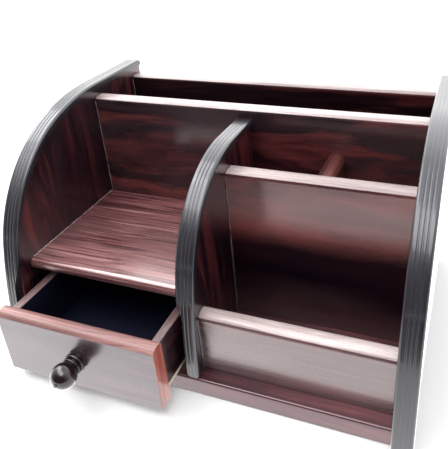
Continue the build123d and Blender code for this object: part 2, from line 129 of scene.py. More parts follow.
def mixColours(tree, share, first, second, blend="MIX"):
    mix = tree.nodes.new("ShaderNodeMix")
    mix.data_type = "RGBA"
    mix.blend_type = blend
    for index, value in ((0, share), (6, first), (7, second)):  # 6, 7 and 2 hold its colours
        feedSocket(tree, mix.inputs[index], value)
    return mix.outputs[2]


def addMath(tree, operation, first, second):
    node = tree.nodes.new("ShaderNodeMath")
    node.operation = operation
    feedSocket(tree, node.inputs[0], first)
    feedSocket(tree, node.inputs[1], second)
    return node.outputs[0]


def addBump(tree, height, strength, distance):
    bump = addNode(tree, "ShaderNodeBump", Height=height, Strength=strength, Distance=distance)
    return bump.outputs["Normal"]


lightValues = {
    "skyStrength": 1.0,
    "zenith": (2.6, 2.6, 2.65, 1),  # overhead
    "behind": (2.2, 2.2, 2.2, 1),  # low behind the table, as from big windows
    "front": (0.13, 0.13, 0.15, 1),  # the dim room in front of the table
    "behindSpan": (-0.85, 0.15),  # how far back the sky turns from front to behind
    "zenithSpan": (0.52, 0.93),  # how high it turns to the zenith
    "boxes": [  # place, looks at, width, height, watts
        ((-0.15, -0.35, 0.75), (0, -0.12, 0.0), 0.90, 0.40, 6.5),
        ((-0.9, 0.2, 1.1), (0, 0, 0.08), 0.6, 0.9, 10),
    ],
}


def addSoftBox(number, place, target, width, height, watts):
    data = bpy.data.lights.new(f"softBox{number}", "AREA")
    data.shape = "RECTANGLE"
    data.size = width
    data.size_y = height
    data.energy = watts
    box = linkObject(data.name, data)
    box.location = place
    box.rotation_mode = "QUATERNION"
    box.rotation_quaternion = (Vector(target) - Vector(place)).to_track_quat("-Z", "Y")


# A bright sky overhead and behind that falls off to a dim room in front.
def makeSky():
    world = bpy.data.worlds.new("studio")
    bpy.context.scene.world = world
    world.use_nodes = True
    tree = world.node_tree
    sky = tree.nodes["Background"]
    direction = tree.nodes.new("ShaderNodeTexCoord").outputs["Generated"]
    parts = addNode(tree, "ShaderNodeSeparateXYZ", Vector=direction)
    aside = addRise(tree, parts.outputs["Y"], lightValues["behindSpan"], "SMOOTHSTEP")
    above = addRise(tree, parts.outputs["Z"], lightValues["zenithSpan"], "SMOOTHSTEP")
    low = mixColours(tree, aside, lightValues["front"], lightValues["behind"])
    whole = mixColours(tree, above, low, lightValues["zenith"])
    tree.links.new(whole, sky.inputs["Color"])
    sky.inputs["Strength"].default_value = lightValues["skyStrength"]


for number, values in enumerate(lightValues["boxes"]):
    addSoftBox(number, *values)
makeSky()
bpy.context.scene.view_settings.view_transform = "Standard"
print("camera and lights set")


def startFinish(name):
    finish = bpy.data.materials.new(name)
    finish.use_nodes = True
    tree = finish.node_tree
    shader = tree.nodes["Principled BSDF"]
    coordinates = tree.nodes.new("ShaderNodeTexCoord")
    return finish, tree, shader, coordinates.outputs["Object"]


def varyRoughness(tree, shader, value, low, high):
    rough = addNode(tree, "ShaderNodeMapRange", Value=value, To_Min=low, To_Max=high)
    tree.links.new(rough.outputs["Result"], shader.inputs["Roughness"])


# A clear coat over the colour, and how strongly the two reflect.
def setGloss(shader, values):
    shader.inputs["Coat Weight"].default_value = 1.0
    shader.inputs["Coat Roughness"].default_value = values["coatRoughness"]
    shader.inputs["Coat IOR"].default_value = values["coatIor"]
    shader.inputs["IOR"].default_value = values["ior"]
    shader.inputs["Specular Tint"].default_value = values["tint"]


veneerLayers = {  # detail, roughness and distortion of each layer's noise
    "wander": (2, 0.5, 0.0),
    "band": (2, 0.5, 0.3),
    "streak": (4, 0.6, 0.25),
    "hair": (2, 0.6, 0.0),
    "pore": (1, 0.5, 0.0),
    "zone": (2, 0.5, 0.0),
    "flame": (4, 0.62, 0.4),
}
veneerValues = {
    "seedStep": (3.7, 5.3, 7.1),  # how far each seed moves the figure
    "bandPitch": 34.0,  # broad bands per metre across the grain
    "streakPitch": 130.0,
    "hairPitch": 700.0,
    "porePitch": 2300.0,
    "bandLength": 4.0,  # and the same per metre along it
    "streakLength": 6.0,
    "hairLength": 16.0,
    "poreLength": 150.0,
    "wanderPitch": 28.0,
    "wanderLength": 9.0,
    "waver": 0.012,  # how far the figure wanders, in metres
    "bandShare": 0.44,
    "streakShare": 0.40,
    "hairShare": 0.16,
    "tones": [
        (0.38, (0.0024, 0.0014, 0.0038)),
        (0.48, (0.0048, 0.0020, 0.0046)),
        (0.58, (0.0130, 0.0034, 0.0064)),
        (0.70, (0.0480, 0.0100, 0.0120)),
    ],
    "poreTones": [(0.28, (0.35, 0.35, 0.35)), (0.40, (1, 1, 1))],
    "poreShare": 0.5,
    "poreBump": 0.08,
    "poreDepth": 0.0002,
    "coatRoughness": 0.12,
    "coatIor": 1.34,
    "roughness": 0.28,
    "roughnessSpread": (0.08, 0.10),  # how far streaks take it down and up
    "ior": 1.62,
    "tint": (1.0, 0.66, 0.68, 1),
    "flame": (0.105, 0.021, 0.021, 1),  # narrow red streaks
    "flameShare": 0.8,
    "flameSpan": 0.20,
    "flameShadeBelow": None,  # where set, the red streaks fade out below these two heights, painted shade low down
    "flamePitch": 75.0,
    "flameLength": 5.0,
    "flameFrom": 0.52,
    "ash": (0.036, 0.021, 0.023, 1),  # broad grey-brown zones
    "ashShare": 0.5,
    "zoneSpan": (0.50, 0.68),
    "zonePitch": 24.0,
    "zoneLength": 6.0,
    "ripplePitch": 70.0,  # slow waves in the lacquer
    "rippleNoise": (1, 0.4),  # detail and roughness
    "rippleBump": (0.05, 0.0006),  # strength and depth
}


# Dark streaked veneer under gloss lacquer, its grain along one axis.
def makeVeneer(name, grainAxis, seed, changes=None):
    values = {**veneerValues, **(changes or {})}
    finish, tree, shader, place = startFinish(name)
    offset = [seed * step for step in values["seedStep"]]

    def addLayer(vector, key):
        stretch = [values[key + "Pitch"]] * 3
        stretch[grainAxis] = values[key + "Length"]
        return addNoise(tree, vector, stretch, offset, *veneerLayers[key])

    wander = addLayer(place, "wander")
    shift = addMath(tree, "SUBTRACT", wander, 0.5)
    shift = addMath(tree, "MULTIPLY", shift, values["waver"] * 2)
    moved = tree.nodes.new("ShaderNodeVectorMath")
    tree.links.new(place, moved.inputs[0])
    tree.links.new(shift, moved.inputs[1])
    place = moved.outputs[0]
    layerKeys = ("band", "streak", "hair", "pore", "zone", "flame")
    band, streak, hair, pore, zone, flames = (addLayer(place, key) for key in layerKeys)
    tone = addMath(tree, "MULTIPLY", band, values["bandShare"])
    for layer, shareKey in ((streak, "streakShare"), (hair, "hairShare")):
        tone = addMath(tree, "ADD", tone, addMath(tree, "MULTIPLY", layer, values[shareKey]))
    colour = addRamp(tree, tone, values["tones"])
    ashMask = addMask(tree, zone, *values["zoneSpan"], values["ashShare"])
    colour = mixColours(tree, ashMask, colour, values["ash"])
    flameFull = values["flameFrom"] + values["flameSpan"]
    flameMask = addMask(tree, flames, values["flameFrom"], flameFull, values["flameShare"])
    # red streaks faded out low down, painted shade
    if values["flameShadeBelow"]:
        parts = addNode(tree, "ShaderNodeSeparateXYZ", Vector=place)
        rise = addRise(tree, parts.outputs["Z"], values["flameShadeBelow"])
        flameMask = addMath(tree, "MULTIPLY", flameMask, rise)
    colour = mixColours(tree, flameMask, colour, values["flame"])
    poreMask = addRamp(tree, pore, values["poreTones"])
    colour = mixColours(tree, values["poreShare"], colour, poreMask, "MULTIPLY")
    tree.links.new(colour, shader.inputs["Base Color"])
    down, up = values["roughnessSpread"]
    varyRoughness(tree, shader, streak, values["roughness"] - down, values["roughness"] + up)
    poreBump = addBump(tree, pore, values["poreBump"], values["poreDepth"])
    tree.links.new(poreBump, shader.inputs["Normal"])
    ripple = addNoise(tree, place, [values["ripplePitch"]] * 3, offset, *values["rippleNoise"])
    tree.links.new(addBump(tree, ripple, *values["rippleBump"]), shader.inputs["Coat Normal"])
    setGloss(shader, values)
    return finish


frontSheenFace = {  # the boards at the very front, finely streaked; their pale pinkish-grey tones are partly painted sheen, a painted reflection of the bright floor
    "streakPitch": 300.0,
    "waver": 0.005,
    "tones": [
        (0.39, (0.003, 0.0020, 0.0030)),
        (0.47, (0.024, 0.0110, 0.0130)),
        (0.54, (0.090, 0.0500, 0.0520)),
        (0.61, (0.260, 0.1750, 0.1680)),
    ],
    "coatRoughness": 0.20,
    "coatIor": 1.25,
    "roughness": 0.27,
    "ior": 1.86,
    "tint": (1.0, 0.88, 0.94, 1),
    "poreBump": 0.01,
    "poreShare": 0.1,
    "hairPitch": 500.0,
    "hairShare": 0.06,
    "flame": (0.150, 0.058, 0.056, 1),
    "flameShare": 0.7,
    "ash": (0.110, 0.082, 0.084, 1),
    "ashShare": 0.6,
}
pocketFace = {**frontSheenFace, "ior": 2.1, "tint": (1.0, 0.84, 0.84, 1), "flamePitch": 160.0}
outerFace = {  # the drawer sides' outer faces
    "flame": (0.100, 0.030, 0.030, 1),
    "flamePitch": 260.0,
    "flameShare": 0.6,
    "coatIor": 1.25,
}
flameFace = {  # the pen panel, red-figured and reflecting more, its lower part painted darker as painted shade in the pen cell
    "coatIor": 1.2,
    "ior": 1.85,
    "roughness": 0.22,
    "tint": (1.0, 0.66, 0.65, 1),
    "flamePitch": 30.0,
    "flameFrom": 0.36,
    "flameSpan": 0.26,
    "flame": (0.150, 0.034, 0.032, 1),
    "flameShadeBelow": (0.070, 0.084),
    "ashShare": 0.7,
}
wavyFace = {  # the tall divider, with a wilder figure
    "waver": 0.024,
    "flamePitch": 55.0,
    "flameFrom": 0.47,
    "flame": (0.140, 0.030, 0.028, 1),
    "ash": (0.055, 0.036, 0.037, 1),
}
capHighlightFace = {  # boards' top edges, less glossy, and painted paler as painted highlight where the tops catch the light
    "streakPitch": 500.0,
    "tones": [
        (0.36, (0.150, 0.110, 0.108)),
        (0.50, (0.300, 0.240, 0.232)),
        (0.64, (0.460, 0.400, 0.385)),
    ],
    "ashShare": 0.0,
    "flameShare": 0.0,
    "poreBump": 0.02,
    "coatIor": 1.2,
    "coatRoughness": 0.3,
    "roughness": 0.36,
    "ior": 1.5,
    "tint": (1, 0.9, 0.9, 1),
}
sideCapLitFace = {  # the drawer sides' top edges, darker than the board caps; a red-brown edge colour, made paler than the sides partly as painted highlight on the tops
    **capHighlightFace,
    "tones": [
        (0.36, (0.050, 0.026, 0.026)),
        (0.50, (0.120, 0.072, 0.070)),
        (0.64, (0.220, 0.150, 0.140)),
    ],
}
faceEdgeSheen = {  # the drawer front's rounded top, painted pinkish and paler as painted sheen where the top catches the light
    **capHighlightFace,
    "tones": [
        (0.36, (0.080, 0.032, 0.030)),
        (0.48, (0.200, 0.090, 0.082)),
        (0.62, (0.380, 0.230, 0.205)),
    ],
    "roughness": 0.5,
}
knobFace = {  # nearly black under a deep gloss
    "tones": [
        (0.40, (0.0030, 0.0018, 0.0030)),
        (0.56, (0.0080, 0.0030, 0.0040)),
        (0.70, (0.0300, 0.0080, 0.0090)),
    ],
    "ashShare": 0.0,
    "flameShare": 0.3,
    "coatRoughness": 0.05,
    "coatIor": 1.5,
    "ior": 1.15,
}
ledgeFace = {  # the base board, duller
    "tones": [
        (0.38, (0.004, 0.0018, 0.0026)),
        (0.48, (0.012, 0.0040, 0.0056)),
        (0.56, (0.036, 0.0100, 0.0130)),
        (0.66, (0.110, 0.0360, 0.0400)),
    ],
    "roughness": 0.34,
    "tint": (1.0, 0.62, 0.68, 1),
    "flame": (0.150, 0.040, 0.042, 1),
    "flamePitch": 170.0,
    "flameShare": 0.5,
    "ashShare": 0.2,
}
shelfFace = {  # finer streaks, close together
    "streakPitch": 650.0,
    "streakLength": 11.0,
    "flame": (0.200, 0.075, 0.070, 1),
    "flamePitch": 240.0,
    "flameLength": 7.0,
    "flameShare": 0.5,
    "ash": (0.110, 0.058, 0.056, 1),
    "waver": 0.004,
    "bandShare": 0.25,
    "streakShare": 0.55,
    "hairShare": 0.20,
    "tones": [
        (0.38, (0.014, 0.0044, 0.0060)),
        (0.46, (0.060, 0.0170, 0.0185)),
        (0.54, (0.155, 0.0580, 0.0590)),
        (0.62, (0.300, 0.1550, 0.1500)),
    ],
    "coatIor": 1.45,
    "coatRoughness": 0.16,
    "ior": 1.95,
    "tint": (1.0, 0.80, 0.80, 1),
}
slotShadeFace = {  # the back panel, painted nearly black as painted shade down in the letter slot
    "tones": [
        (0.40, (0.0016, 0.0008, 0.0016)),
        (0.52, (0.0046, 0.0014, 0.0024)),
        (0.64, (0.0200, 0.0040, 0.0060)),
        (0.74, (0.0400, 0.0090, 0.0110)),
    ],
    "flameShare": 0.6,
    "ashShare": 0.1,
    "coatIor": 1.22,
    "ior": 1.5,
}
redEnd = {  # the drawer front's red-brown ends
    "streakPitch": 300.0,
    "waver": 0.003,
    "tones": [
        (0.37, (0.100, 0.020, 0.014)),
        (0.46, (0.330, 0.080, 0.056)),
        (0.62, (0.600, 0.280, 0.230)),
    ],
    "ashShare": 0.0,
    "flameShare": 0.0,
    "coatIor": 1.2,
    "roughness": 0.42,
    "ior": 1.45,
}
dividerFace = {  # the pen divider, darker than the ends
    **redEnd,
    "tones": [
        (0.36, (0.022, 0.006, 0.006)),
        (0.50, (0.090, 0.026, 0.022)),
        (0.64, (0.240, 0.120, 0.105)),
    ],
    "ior": 1.7,
    "roughness": 0.3,
}
darkStainAndShade = {  # stained dark, and painted nearly black and a little blue as painted shade inside the drawer
    "tones": [
        (0.36, (0.0007, 0.0014, 0.0060)),
        (0.52, (0.0014, 0.0022, 0.0090)),
        (0.68, (0.0040, 0.0040, 0.0110)),
    ],
    "flameShare": 0.0,
    "ashShare": 0.0,
    "coatRoughness": 0.30,
    "coatIor": 1.25,
    "roughness": 0.5,
    "ior": 1.4,
    "tint": (0.8, 0.8, 1.0, 1),
}

trimGloss = {
    "tones": [(0.35, (0.0040, 0.0036, 0.0050)), (0.65, (0.0130, 0.0112, 0.0150))],
    "cloudStretch": (900, 60, 60),
    "cloudOffset": (2, 5, 1),
    "cloudNoise": (3, 0.6),  # detail and roughness
    "rippleStretch": (160, 160, 160),
    "rippleOffset": (4, 1, 7),
    "rippleNoise": (2, 0.5),
    "rippleBump": (0.06, 0.0005),  # strength and depth
    "roughness": 0.36,
    "roughnessSpread": (0.06, 0.08),
    "coatRoughness": 0.13,
    "coatIor": 1.36,
    "ior": 1.50,
    "tint": (0.92, 0.93, 1, 1),
}


# The near-black gloss of the fluted trims, a little streaky along their length.
def makeTrimGloss(name):
    values = trimGloss
    finish, tree, shader, place = startFinish(name)
    cloud = addNoise(tree, place, values["cloudStretch"], values["cloudOffset"],
                     *values["cloudNoise"])
    tree.links.new(addRamp(tree, cloud, values["tones"]), shader.inputs["Base Color"])
    down, up = values["roughnessSpread"]
    varyRoughness(tree, shader, cloud, values["roughness"] - down, values["roughness"] + up)
    ripple = addNoise(tree, place, values["rippleStretch"], values["rippleOffset"],
                      *values["rippleNoise"])
    for socketName in ("Coat Normal", "Normal"):
        tree.links.new(addBump(tree, ripple, *values["rippleBump"]), shader.inputs[socketName])
    setGloss(shader, values)
    return finish


fibreValues = {
    "speckStretch": (1800, 1800, 1800),
    "speckOffset": (1, 2, 3),
    "speckNoise": (3, 0.7),  # detail and roughness
    "speckTones": [(0.30, (0.62, 0.55, 0.48)), (0.55, (1, 1, 1))],
    "speckShare": 0.8,
    "cloudStretch": (90, 90, 260),
    "cloudOffset": (5, 2, 3),
    "cloudNoise": (3, 0.6),
    "tones": [(0.3, (0.60, 0.50, 0.40)), (0.7, (0.78, 0.70, 0.60))],
    "bump": (0.35, 0.0003),  # strength and depth
    "roughness": 0.82,
}


# Pale pressed fibre, as on the raw edges and underside of the drawer's bottom.
def makeRawFibre(name):
    values = fibreValues
    finish, tree, shader, place = startFinish(name)
    speck = addNoise(tree, place, values["speckStretch"], values["speckOffset"],
                     *values["speckNoise"])
    cloud = addNoise(tree, place, values["cloudStretch"], values["cloudOffset"],
                     *values["cloudNoise"])
    colour = addRamp(tree, cloud, values["tones"])
    dots = addRamp(tree, speck, values["speckTones"])
    colour = mixColours(tree, values["speckShare"], colour, dots, "MULTIPLY")
    tree.links.new(colour, shader.inputs["Base Color"])
    tree.links.new(addBump(tree, speck, *values["bump"]), shader.inputs["Normal"])
    shader.inputs["Roughness"].default_value = values["roughness"]
    return finish


beadLacquerHighlight = {  # clear lacquer, as it gathers in a joint; its pale colour is painted highlight where the joints catch the light
    "stretch": (300, 300, 120),
    "offset": (3, 1, 4),
    "tones": [(0.35, (0.10, 0.06, 0.07)), (0.65, (0.34, 0.26, 0.27))],
    "bump": (0.1, 0.0002),  # strength and depth
    "constants": {"Roughness": 0.25, "Coat Weight": 0.6},
}
plainBeech = {  # as dowels and pins are
    "stretch": (180, 1100, 1100),
    "offset": (3, 3, 1),
    "tones": [(0.3, (0.50, 0.33, 0.18)), (0.7, (0.68, 0.50, 0.30))],
    "bump": (0.2, 0.0002),
    "constants": {"Roughness": 0.6},
}
zincPlate = {  # zinc-plated steel, finely brushed
    "stretch": (700, 700, 2600),
    "offset": (1, 6, 2),
    "tones": [(0.3, (0.46, 0.46, 0.47)), (0.7, (0.66, 0.66, 0.65))],
    "bump": (0.1, 0.0001),
    "roughnessSpan": (0.24, 0.42),
    "constants": {"Metallic": 1.0},
}
plainNoise = (3, 0.6)  # detail and roughness


# A plain finish with one fine cloud in its colour and its surface.
def makePlain(name, values):
    finish, tree, shader, place = startFinish(name)
    cloud = addNoise(tree, place, values["stretch"], values["offset"], *plainNoise)
    tree.links.new(addRamp(tree, cloud, values["tones"]), shader.inputs["Base Color"])
    if "roughnessSpan" in values:
        varyRoughness(tree, shader, cloud, *values["roughnessSpan"])
    tree.links.new(addBump(tree, cloud, *values["bump"]), shader.inputs["Normal"])
    for socketName, value in values["constants"].items():
        shader.inputs[socketName].default_value = value
    return finish


finishes = {  # by the node they cover, or by what they are
    "left_side_panel": makeVeneer("leftPanelVeneer", upAxis, 1),
    "right_side_panel": makeVeneer("rightPanelVeneer", upAxis, 2),
    "middle_panel": makeVeneer("middlePanelVeneer", upAxis, 3, {"flameFrom": 0.45}),
    "back_panel": makeVeneer("backPanelShadeVeneer", acrossAxis, 4, slotShadeFace),
    "tall_divider": makeVeneer("tallDividerVeneer", acrossAxis, 5, wavyFace),
    "pen_panel": makeVeneer("penPanelVeneer", acrossAxis, 6, flameFace),
    # the front boards' pale tones are partly painted sheen
    "pocket_front_board": makeVeneer("pocketBoardSheenVeneer", acrossAxis, 7, pocketFace),
    "pen_divider": makeVeneer("penDividerVeneer", depthAxis, 8, dividerFace),
    "shelf": makeVeneer("shelfVeneer", acrossAxis, 9, shelfFace),
    "base_board": makeVeneer("baseVeneer", acrossAxis, 10, ledgeFace),
    "drawer_front": makeVeneer("drawerFaceSheenVeneer", acrossAxis, 11, frontSheenFace),
    "drawerSide": makeVeneer("drawerSideStainShade", depthAxis, 12, darkStainAndShade),
    "drawer_back": makeVeneer("drawerBackStainShade", acrossAxis, 13, darkStainAndShade),
    "drawerFloor": makeVeneer("drawerFloorFoilShade", acrossAxis, 14, darkStainAndShade),
    "knob": makeVeneer("knobLacquer", depthAxis, 15, knobFace),
    "redEnd": makeVeneer("redEndGrain", upAxis, 16, redEnd),
    "cap": makeVeneer("capHighlightVeneer", acrossAxis, 17, capHighlightFace),
    "sideCap": makeVeneer("sideCapLitVeneer", depthAxis, 18, sideCapLitFace),
    "drawerOuter": makeVeneer("drawerOuterVeneer", depthAxis, 20, outerFace),
    "faceEdgeSheen": makeVeneer("faceEdgeSheenVeneer", acrossAxis, 19, faceEdgeSheen),
    "trim": makeTrimGloss("trimGloss"),
    "rawFibre": makeRawFibre("rawFibre"),
    "bead": makePlain("beadLacquerHighlight", beadLacquerHighlight),
    "beech": makePlain("plainBeech", plainBeech),
    "zinc": makePlain("zincPlate", zincPlate),
}
print("finishes made")

meshValues = {  # distances in metres, angles in degrees
    "weld": 1e-6,  # vertices closer than this are merged
    "touch": 1e-6,  # within this, a vertex counts as lying at a level
    "fine": 1e-7,  # the same, where it has to be closer
    "shortest": 1e-4,  # the least run of an edge that counts as parallel to an axis
    "sharp": 50,  # edges that turn more than this are softened
    "softSegments": 3,
    "smooth": 40,  # edges that turn less than this are shaded smooth
}


def vertsIn(geometry):
    return [part for part in geometry if isinstance(part, bmesh.types.BMVert)]


def edgesIn(geometry):
    return [part for part in geometry if isinstance(part, bmesh.types.BMEdge)]


def joinInChain(bm, verts):
    for first, second in zip(verts, verts[1:]):
        bm.edges.new((first, second))


# Grows flat faces into a solid along a vector.
def thickenFaces(bm, faces, vector):
    grown = bmesh.ops.extrude_face_region(bm, geom=faces)
    bmesh.ops.translate(bm, vec=vector, verts=vertsIn(grown["geom"]))


def weldVerts(bm):
    bmesh.ops.remove_doubles(bm, verts=bm.verts, dist=meshValues["weld"])


def meshFrom(name, bm):
    mesh = bpy.data.meshes.new(name)
    bm.to_mesh(mesh)
    bm.free()
    return mesh


# Turns a bmesh into a piece that rides on a body.
def makePiece(name, bm, materials, body):
    weldVerts(bm)
    bmesh.ops.recalc_face_normals(bm, faces=bm.faces)
    return placeMesh(name, meshFrom(name, bm), materials, body)


def placeMesh(name, mesh, materials, body, smoothAngle=meshValues["smooth"]):
    mesh.shade_smooth()
    mesh.set_sharp_from_angle(angle=radians(smoothAngle))
    mesh.materials.clear()
    for material in materials:
        mesh.materials.append(material)
    piece = linkObject(name, mesh)
    weighted = piece.modifiers.new("weightedNormals", "WEIGHTED_NORMAL")
    weighted.keep_sharp = True
    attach(piece, body)
    return piece


# Edges parallel to one axis, all at one level of another.
def edgesAt(bm, along, side, level):
    def fits(edge):
        first, second = (vert.co for vert in edge.verts)
        onLevel = all(abs(place[side] - level) < meshValues["touch"] for place in (first, second))
        return onLevel and abs(first[along] - second[along]) > meshValues["shortest"]

    return [edge for edge in bm.edges if fits(edge)]


def roundEdges(bm, edges, radius, segments):
    bmesh.ops.bevel(bm, geom=edges, offset=radius, offset_type="OFFSET", affect="EDGES",
                    segments=segments, profile=0.5, material=-1, clamp_overlap=True)


# Rounds the corners of a flat outline.
def roundCorners(bm, corners, radius, segments):
    bmesh.ops.bevel(bm, geom=corners, offset=radius, offset_type="OFFSET", affect="VERTICES",
                    segments=segments, profile=0.5, material=-1)


def softenSharp(bm, radius):
    limit = radians(meshValues["sharp"])
    sharp = [edge for edge in bm.edges if edge.calc_face_angle(0) > limit]
    roundEdges(bm, sharp, radius, meshValues["softSegments"])


# Gives another finish to the faces of a piece whose normals fit.
def refinish(piece, finish, fits):
    piece.data.materials.append(finish)
    index = len(piece.data.materials) - 1
    for polygon in piece.data.polygons:
        if fits(polygon.normal):
            polygon.material_index = index


# The same for the faces that look up more than upness; these tops take a paler finish, painted
# highlight on the tops.
def paintLitTops(piece, finish, upness):
    refinish(piece, finish, lambda normal: normal.z > upness)


boardValues = {
    "soften": 0.35 * mm,
    "topRound": 3.0 * mm,
    "pocketRound": 5.0 * mm,
    "dividerRound": 5.0 * mm,
    "shelfRound": 3.5 * mm,
    "faceRound": 3.5 * mm,
    "boxRound": 1.0 * mm,
    "roundSegments": 8,
    "capUpness": 0.5,
}


# A board the size of a CAD node, with some edges rounded and the rest softened.
# A rounding is the axis that the edges run along, the side and end they lie on, and a radius.
def makeBoard(nodeName, materials, body, rounds):
    low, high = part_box(nodeName)
    bm = bmesh.new()
    bmesh.ops.create_cube(bm, size=1)
    bmesh.ops.scale(bm, vec=high - low, verts=bm.verts)
    bmesh.ops.translate(bm, vec=(low + high) / 2, verts=bm.verts)
    for along, side, end, radius in rounds:
        edges = edgesAt(bm, along, side, (low, high)[end][side])
        roundEdges(bm, edges, radius, boardValues["roundSegments"])
    softenSharp(bm, boardValues["soften"])
    piece = makePiece(nodeName + "_board", bm, materials, body)
    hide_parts(nodeName)
    return piece


topRounding = [(acrossAxis, upAxis, highEnd, boardValues["topRound"])]
boards = {
    "back_panel": topRounding,
    "tall_divider": topRounding,
    "pen_panel": topRounding,
    "pocket_front_board": [(acrossAxis, upAxis, highEnd, boardValues["pocketRound"])],
    "pen_divider": [(depthAxis, upAxis, highEnd, boardValues["dividerRound"])],
    "shelf": [(acrossAxis, depthAxis, lowEnd, boardValues["shelfRound"])],
}
cappedBoards = ("back_panel", "tall_divider", "pen_panel", "pocket_front_board")
for nodeName, rounds in boards.items():
    piece = makeBoard(nodeName, [finishes[nodeName]], "case", rounds)
    # the tops of these boards take the paler cap finish, a painted highlight
    if nodeName in cappedBoards:
        paintLitTops(piece, finishes["cap"], boardValues["capUpness"])
print("boards made")

beadValues = {"leg": 0.32 * mm, "steps": 3, "sink": 0.05 * mm}
boardEnds = {  # which panels a board meets, and where its bead starts
    "back_panel": ("left_side_panel", "right_side_panel", "base_board"),
    "tall_divider": ("left_side_panel", "right_side_panel", "shelf"),
    "pen_panel": ("middle_panel", "right_side_panel", "base_board"),
    "pocket_front_board": ("middle_panel", "right_side_panel", "base_board"),
}


# A hollow-faced bead in the corner of a panel's face at x and a board's face at
# faceAt, from low to high: upright in front of the board, or level on top of it.
def addBead(bm, x, side, faceAt, low, high, level=False):
    leg, sink = beadValues["leg"], beadValues["sink"]

    def placed(across, out):
        if level:
            return x + side * across, low, faceAt + out
        return x + side * across, faceAt - out, low

    start = bm.verts.new(placed(0, leg))
    spinAxis, way = ((0, 1, 0), -side) if level else ((0, 0, 1), side)
    hollow = bmesh.ops.spin(bm, geom=[start], cent=placed(leg, leg), axis=spinAxis,
                            angle=way * quarterTurn, steps=beadValues["steps"])
    arcEnd = vertsIn(hollow["geom_last"])[0]
    corners = ((leg, -sink), (-sink, -sink), (-sink, leg))
    joinInChain(bm, [arcEnd, *[bm.verts.new(placed(*corner)) for corner in corners], start])
    loose = [edge for edge in bm.edges if not edge.link_faces]
    faces = bmesh.ops.contextual_create(bm, geom=loose)["faces"]
    thickenFaces(bm, faces, (0, high - low, 0) if level else (0, 0, high - low))


bm = bmesh.new()
for nodeName, (leftNode, rightNode, underNode) in boardEnds.items():
    low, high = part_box(nodeName)
    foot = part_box(underNode)[1].z
    top = high.z - boardValues["topRound"]
    addBead(bm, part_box(leftNode)[1].x, 1, low.y, foot, top)
    addBead(bm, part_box(rightNode)[0].x, -1, low.y, foot, top)
low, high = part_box("shelf")
for x, side in ((low.x, 1), (high.x, -1)):
    addBead(bm, x, side, high.z, low.y + boardValues["shelfRound"], high.y, level=True)
# the beads' pale colour is a painted highlight along the joints
makePiece("joint_beads", bm, [finishes["bead"]], "case")
print("beads made")

curves = {  # the curved edges: turns in degrees, bend and crown are radii
    "side": {"front": -91 * mm, "foot": 0, "top": 153 * mm, "back": 91 * mm,
             "footTurn": 16, "bendTurn": 70, "bend": 97 * mm, "crown": 143.5 * mm},
    "middle": {"front": -85.6 * mm, "foot": 12 * mm, "top": 136 * mm, "back": 26.5 * mm,
               "footTurn": 13.5, "bendTurn": 67.5, "bend": 73 * mm, "crown": 77.5 * mm},
}
panelValues = {"soften": 0.35 * mm, "stepTurn": 2.0, "fewestSteps": 6}
profileValues = {  # the trims
    "width": 12 * mm,
    "thickness": 4.5 * mm,
    "flankRound": 1.6 * mm,
    "flankSegments": 6,
    "fluteRound": 0.45 * mm,
    "fluteSegments": 4,
    "flutePitch": 2.3 * mm,
    "fluteWidth": 0.7 * mm,
    "fluteDepth": 0.25 * mm,
    "fluteFloor": 0.55,  # how wide a flute is at its floor, as a share of its width
    "notchCut": 4.3 * mm,
    "notchTop": 49 * mm,
    "notchRunOut": 22 * mm,
    "footRound": 2.5 * mm,
    "tailRound": 4.0 * mm,
    "tailSteps": 8,
    "smooth": 35,
}


# The three arcs of a curved edge: where each turns about, and by how much.
def edgeArcs(curve):
    low, high = radians(curve["footTurn"]), radians(curve["bendTurn"])
    rise = curve["top"] - curve["foot"]
    rise -= curve["bend"] * (sin(high) - sin(low)) + curve["crown"] * (1 - sin(high))
    radii = [rise / sin(low), curve["bend"], curve["crown"]]
    ends = [0, low, high, quarterTurn]
    y, z = curve["front"], curve["foot"]
    arcs = []
    for radius, start, end in zip(radii, ends, ends[1:]):
        centreY = y + radius * cos(start)
        centreZ = z - radius * sin(start)
        arcs.append(((0, centreY, centreZ), end - start))
        y = centreY - radius * cos(end)
        z = centreZ + radius * sin(end)
    return arcs


# Sweeps what is given round the arcs, from the foot to the level top.
def sweepArcs(bm, geometry, curve):
    last = geometry
    for centre, angle in edgeArcs(curve):
        steps = max(panelValues["fewestSteps"], round(angle / radians(panelValues["stepTurn"])))
        made = bmesh.ops.spin(bm, geom=last, cent=centre, axis=(1, 0, 0), angle=-angle,
                              steps=steps, use_duplicate=False)
        last = made["geom_last"]
    return last


# A curved panel: its outline is swept and drawn, filled, and given its thickness.
def makePanel(nodeName, curve):
    low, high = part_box(nodeName)
    bm = bmesh.new()
    frontY = curve["front"] + profileValues["thickness"]
    start = bm.verts.new((low.x, frontY, curve["foot"]))
    end = vertsIn(sweepArcs(bm, [start], curve))[0]
    backTop = bm.verts.new((low.x, curve["back"], end.co.z))
    backFoot = bm.verts.new((low.x, curve["back"], curve["foot"]))
    joinInChain(bm, [end, backTop, backFoot, start])
    faces = bmesh.ops.contextual_create(bm, geom=bm.edges[:])["faces"]
    thickenFaces(bm, faces, (high.x - low.x, 0, 0))
    bmesh.ops.recalc_face_normals(bm, faces=bm.faces)
    softenSharp(bm, panelValues["soften"])
    piece = makePiece(nodeName + "_board", bm, [finishes[nodeName]], "case")
    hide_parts(nodeName)


makePanel("left_side_panel", curves["side"])
makePanel("right_side_panel", curves["side"])
makePanel("middle_panel", curves["middle"])
print("panels made")


